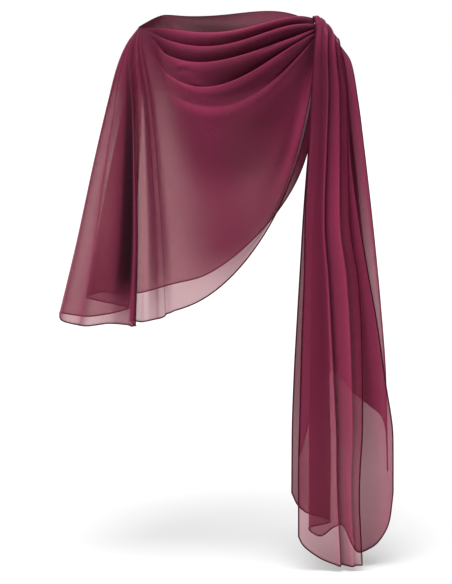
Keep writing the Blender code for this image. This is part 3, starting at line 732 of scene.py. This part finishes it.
levelColumns = "name run z y left right drop gather tone"
pleatColumns = "name cloth top mid low proudTop proudLow hemZ gather tone"
tails = {
    # run: the share of the way down; left, right: the tail's edges; drop: how far its outer side
    # hangs lower; top, mid, low: where across it a fold hangs at the knot, further down and at
    # the hem; proudTop, proudLow: how far the fold stands out
    # gather: how many times denser than flat the cloth lies; the last column is painted light and
    # shade: lighter on crests, darker in valleys and where a tail tucks behind the knot
    "tailFront": {
        "node": "tail_front",
        "levels": {
            "columns": levelColumns,
            "rows": [
                ("tucked behind the knot", 0.000, 35, 12.5, 150, 176, 12, 3.2, 0.45),
                ("back of the shoulder", 0.010, 40.2, 3.5, 150, 181, 20, 3.2, 0.5),
                ("top of the shoulder", 0.024, 42.6, -9, 149.5, 187, 32, 3.2, 0.55),
                ("upper front of the shoulder", 0.036, 40, -21, 151, 190, 34, 3.0, 0.55),
                ("front of the shoulder", 0.048, 33, -32, 152, 193, 30, 3.0, 0.6),
                ("knot front", 0.062, 20, -43.3, 153, 195, 20, 3.0, 0.62),
                ("under the knot", 0.085, -4, -59.3, 150, 196, 8, 2.8, 0.65),
                ("collarbone", 0.120, -38, -75, 147, 199, 0, 2.6, 0.55),
                ("chest", 0.175, -95, -97, 143, 206, 0, 2.4, 0.6),
                ("upper ribs", 0.265, -190, -116, 138, 208, 0, 2.2, 0.8),
                ("ribs", 0.390, -325, -124, 132, 212, 0, 2.0, 1.0),
                ("waist", 0.500, -435, -126, 131, 229, 0, 1.8, 1.0),
                ("hip", 0.610, -550, -127, 128, 237, 0, 1.6, 1.05),
                ("thigh", 0.750, -700, -128, 125, 240, 0, 1.3, 1.1),
                ("knee", 0.870, -830, -129, 123, 236, 0, 1.1, 1.1),
                ("hem", 1.000, -975, -130, 124, 243, 0, 0.85, 1.1),
            ],
        },
        "pleats": {
            "columns": pleatColumns,
            "rows": [
                ("left edge", 0.000, 0.00, 0.00, 0.00, 0, 0, -914, 1.0, 0.9),
                ("left roll", 0.060, 0.08, 0.07, 0.06, 3, 2, -928, 1.0, 1.05),
                ("left panel", 0.200, 0.20, 0.20, 0.25, 4, 2, -948, 1.1, 0.95),
                ("left hollow", 0.350, 0.33, 0.33, 0.42, 1, 1, -960, 1.1, 0.85),
                ("crest slope", 0.450, 0.42, 0.38, 0.56, 3, 3, -966, 1.1, 0.9),
                ("crest", 0.500, 0.50, 0.415, 0.65, 4, 7, -969, 1.3, 1.5),
                ("valley", 0.545, 0.53, 0.445, 0.675, -6, -3, -968, 2.4, 0.4),
                ("second slope", 0.640, 0.62, 0.56, 0.75, -2, -2, -970, 1.9, 1.15),
                ("second ridge", 0.740, 0.74, 0.71, 0.84, 6, 2, -971, 1.3, 1.5),
                ("second ridge, edge", 0.780, 0.78, 0.765, 0.87, 5, 1, -971, 1.1, 2.1),
                ("second hollow", 0.820, 0.81, 0.80, 0.89, -3, -1, -970, 1.0, 0.45),
                ("right fold", 0.920, 0.92, 0.92, 0.95, 1, 0, -969, 0.5, 1.1),
                ("right edge", 1.000, 1.00, 1.00, 1.00, 0, 0, -969, 0.5, 1.2),
            ],
        },
        "flat": (0.18, 1.09),
        "area": 0.13,
    },
    "tailBack": {
        "node": "tail_back",
        "levels": {
            "columns": levelColumns,
            "rows": [
                ("knot front", 0.000, 12, -41, 158, 184, 11, 2.4, 0.6),
                ("under the knot", 0.025, -8, -51.5, 158, 193, 1, 2.4, 0.65),
                ("collarbone", 0.060, -38, -62, 152, 203, 0, 2.2, 0.7),
                ("chest", 0.120, -95, -80, 147, 209, 0, 2.0, 0.8),
                ("upper ribs", 0.220, -190, -97, 139, 214, 0, 1.6, 0.9),
                ("ribs", 0.365, -325, -102, 130, 230, 0, 1.4, 1.0),
                ("waist", 0.480, -435, -104, 125, 247, 0, 1.25, 1.0),
                ("hip", 0.605, -550, -105, 120, 265, 0, 1.25, 1.0),
                ("thigh", 0.760, -700, -105, 114.5, 284, 0, 1.2, 1.0),
                ("knee", 0.880, -830, -106, 112, 299, 0, 1.0, 1.0),
                ("hem", 1.000, -965, -106, 112, 301, 0, 1.0, 1.0),
            ],
        },
        "pleats": {
            "columns": pleatColumns,
            "rows": [
                ("left edge", 0.000, 0.00, 0.00, 0.00, 0, -6, -838, 2.4, 1.0),
                ("left corner", 0.060, 0.08, 0.06, 0.06, 1, -7, -862, 2.3, 1.0),
                ("left lobe", 0.140, 0.18, 0.16, 0.16, -1, -8, -878, 1.6, 1.0),
                ("lobe fold, under", 0.290, 0.32, 0.41, 0.385, -2.5, -8, -893, 1.0, 0.9),
                ("lobe fold, inner turn", 0.410, 0.40, 0.16, 0.17, 1, -1, -906, 1.0, 0.95),
                ("lobe", 0.490, 0.46, 0.29, 0.28, 3, 3, -919, 1.0, 1.0),
                ("lobe side", 0.590, 0.54, 0.43, 0.41, 0, 2, -903, 1.0, 1.0),
                ("notch", 0.660, 0.62, 0.50, 0.49, 0, -2, -898, 1.2, 0.9),
                ("right lobe", 0.800, 0.75, 0.67, 0.67, 2, 3, -951, 2.0, 1.0),
                ("right lobe, side", 0.870, 0.84, 0.80, 0.80, 0, -1, -942, 2.1, 1.0),
                ("right corner", 0.930, 0.92, 0.91, 0.91, 1, 2, -917, 2.1, 1.25),
                ("right side", 0.970, 0.96, 0.97, 0.97, 1, 1, -888, 2.1, 1.4),
                ("right edge", 1.000, 1.00, 1.00, 1.00, 0, 0, -836, 2.1, 1.4),
            ],
        },
        "flat": (0.43, 0.99),
        "area": 0.18,
    },
    "tailUnder": {
        "node": "tail_under",
        "levels": {
            "columns": levelColumns,
            "rows": [
                ("knot front", 0.000, 4, -38.2, 160, 185, 0, 2.4, 0.6),
                ("under the knot", 0.030, -14, -42.5, 161, 200, 0, 2.4, 0.65),
                ("collarbone", 0.070, -38, -51, 159, 216, 0, 2.3, 0.8),
                ("chest", 0.150, -95, -66, 155, 227, 0, 2.8, 0.8),
                ("upper ribs", 0.290, -190, -78, 148, 240, 0, 2.3, 0.9),
                ("ribs", 0.480, -325, -82, 138, 259, 0, 1.5, 1.0),
                ("waist", 0.640, -435, -84, 132, 273.5, 0, 1.1, 1.0),
                ("hip", 0.800, -550, -85, 128, 286, 0, 1.0, 1.0),
                ("hem", 1.000, -690, -85, 126, 292.5, 0, 1.0, 1.0),
            ],
        },
        "pleats": {
            "columns": pleatColumns,
            "rows": [
                ("left edge", 0.000, 0.00, 0.00, 0.00, 0, 0, -772, 1.3, 0.9),
                ("left leg", 0.060, 0.06, 0.05, 0.05, 2, 3, -742, 1.1, 0.9),
                ("arch, left", 0.160, 0.17, 0.15, 0.14, 0, -3, -680, 1.1, 0.85),
                ("arch, top", 0.330, 0.34, 0.34, 0.34, 2, 3, -606, 1.2, 0.8),
                ("arch, right", 0.560, 0.50, 0.54, 0.60, 0, -3, -648, 1.0, 0.9),
                ("dark hollow", 0.700, 0.60, 0.68, 0.80, -2, -3, -676, 3.8, 0.55),
                ("dark hollow, side", 0.780, 0.66, 0.77, 0.88, -1, -1, -686, 3.8, 0.55),
                ("band, start", 0.830, 0.72, 0.82, 0.915, 3, 3, -692, 2.3, 1.1),
                ("band", 0.910, 0.85, 0.91, 0.95, 5, 4, -704, 2.1, 1.25),
                ("band, side", 0.970, 0.95, 0.97, 0.98, 1, 1, -732, 2.0, 1.4),
                ("right edge", 1.000, 1.00, 1.00, 1.00, -3, -3, -800, 1.9, 1.4),
            ],
        },
        "flat": (0.42, 0.82),
        "area": 0.105,
    },
}
tailLoop = {"cloth": 0.022, "back": 0.012, "rise": 1.6}
tailSteps = {"across": 0.011, "run": 0.0065}
tailHang = {
    "mid": 0.4,  # where on its way down a fold reaches its middle place
    "drop": (0.2, 1.6),  # from where across a tail, and how bent
    "proudChange": 0.18,  # how soon a fold goes from proudTop to proudLow
    "proudKept": (0.4, 0.09),  # how proud a fold is at the very top, and where it is in full
    "hem": (0.25, 1.5),  # from where down a tail it starts to follow the hem, and how bent
    "toneKept": (0.3, 0.35),  # the same for the folds' painted light and shade: near the knot the folds are pressed together
}


def tailLook(tail, pleats, name, across, run):
    own = smooth(pleats["cloth"], pleats[name], across)[:, None]
    if name == "tone":
        # near the knot the folds' painted highlights and painted shade are weaker
        least, full = tailHang["toneKept"]
        own = 1 + (own - 1) * (least + (1 - least) * ease(run / full))
    return own * read(tail["levels"], "run", name, run)


def tailPoint(tail, pleats, across, run):
    levels = tail["levels"]
    z, y, left, right, drop = (
        read(levels, "run", name, run) for name in ("z", "y", "left", "right", "drop")
    )
    top, mid, low, proudTop, proudLow, hemZ = (
        smooth(pleats["cloth"], pleats[n], across)
        for n in ("top", "mid", "low", "proudTop", "proudLow", "hemZ")
    )
    turn = tailHang["mid"]
    x = top + (mid - top) * ease(run / turn) + (low - mid) * ease(after(turn, run))
    start, bend = tailHang["drop"]
    z = z - drop * after(start, x) ** bend
    x = left + (right - left) * x
    proud = proudTop + (proudLow - proudTop) * (1 - bell(run, 0, tailHang["proudChange"]))
    least, full = tailHang["proudKept"]
    proud = proud * (least + (1 - least) * ease(run / full))
    start, bend = tailHang["hem"]
    hang = (hemZ - levels["rows"][-1][2]) * after(start, run) ** bend
    rise, off = (
        read(levels, "run", n, run + short) - read(levels, "run", n, run) for n in ("z", "y")
    )
    length = np.hypot(rise, off)
    return np.stack([x, y + proud * rise / length, z - proud * off / length + hang], axis=-1)


for name, tail in tails.items():
    pleats = looped(tail["pleats"], "low", "proudLow", tailLoop)
    across = steps(pleats["cloth"], tailSteps["across"])
    run = steps(col(tail["levels"], "run"), tailSteps["run"])
    points = gridOf(lambda c, r: tailPoint(tail, pleats, c, r), across, run)
    looks = {look: tailLook(tail, pleats, look, across, run) for look in ("gather", "tone")}
    piece = sheetFrom(name, points, looks)
    edge = np.concatenate([points[0, :-1], points[:-1, -1], points[-1, ::-1]])
    edgeHem = hemAlong(name + "Hem", edge, rolled["tails"])
    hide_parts(tail["node"])
    print(name, "made,", points.shape)

# ---- the knot, a gathered bundle under the front tail


def knotPiece():
    body = bmesh.new()
    rings = knotShape["rings"]
    bmesh.ops.create_uvsphere(body, u_segments=2 * rings, v_segments=rings, radius=1)
    centre, half, pressed = (knotShape[n] for n in ("centre", "half", "pressed"))
    for vert in body.verts:
        x, y, z = vert.co
        turn = knotShape["pleats"] * math.atan2(z, x) + knotShape["twist"] * y
        pleat = (0.5 - 0.5 * math.cos(turn)) * (1 - y * y)
        size = 1 - knotShape["depth"] / half[0] * pleat - knotShape["less"]
        x = x * pressed["x"] if x > 0 else x
        z = z * pressed["z"] if z > 0 else z
        vert.co = [(c + h * part * size) * mm for c, h, part in zip(centre, half, (x, y, z))]
    uv = body.loops.layers.uv.new("cloth")
    for face in body.faces:
        for loop in face.loops:
            loop[uv].uv = (loop.vert.co.x + loop.vert.co.z, loop.vert.co.y)
    mesh = meshOf("knotPiece", body)
    for look, value in knotShape["looks"].items():
        writeLook(mesh, look, [value] * len(mesh.vertices))
    return finishPiece("knotPiece", mesh, cloth)


knot = knotPiece()
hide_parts("knot")
print("knot made")

# ---- the floor and the light

floorSpec = {"z": -0.981, "size": 60, "colour": (0.46, 0.46, 0.46, 1), "roughness": 0.9}


def floorPiece():
    flat = bmesh.new()
    bmesh.ops.create_grid(flat, x_segments=1, y_segments=1, size=floorSpec["size"])
    bmesh.ops.translate(flat, verts=flat.verts, vec=(0, 0, floorSpec["z"]))
    made, tree = newTree("floor")
    look = {"Base Color": floorSpec["colour"], "Roughness": floorSpec["roughness"]}
    surface = add(tree, "BsdfPrincipled", {}, look)["BSDF"]
    add(tree, "OutputMaterial", {}, {"Surface": surface})
    mesh = meshOf("floor", flat)
    mesh.materials.append(made)
    placed("floor", mesh)


floorPiece()

lights = {
    # x, y, z: towards the light; angle: how wide it is, in degrees; strength, in worlds
    "columns": "name x y z angle strength",
    "rows": [
        ("overhead softbox", -0.02, -0.24, 1.0, 36, 1.0),
        ("front left softbox", -0.85, -0.6, 0.35, 100, 1.3),
    ],
}
for name, x, y, z, angle, strength in lights["rows"]:
    lamp = placed(name, bpy.data.lights.new(name, "SUN"))
    lamp.data.angle = math.radians(angle)
    lamp.data.energy = strength * math.pi
    lamp.rotation_euler = Vector((x, y, z)).to_track_quat("Z", "Y").to_euler()

world = bpy.data.worlds.new("studio")
world.use_nodes = True
world.node_tree.nodes["Background"].inputs["Color"].default_value = (1, 1, 1, 1)
world.node_tree.nodes["Background"].inputs["Strength"].default_value = 1.0
bpy.context.scene.world = world
print("stage made")
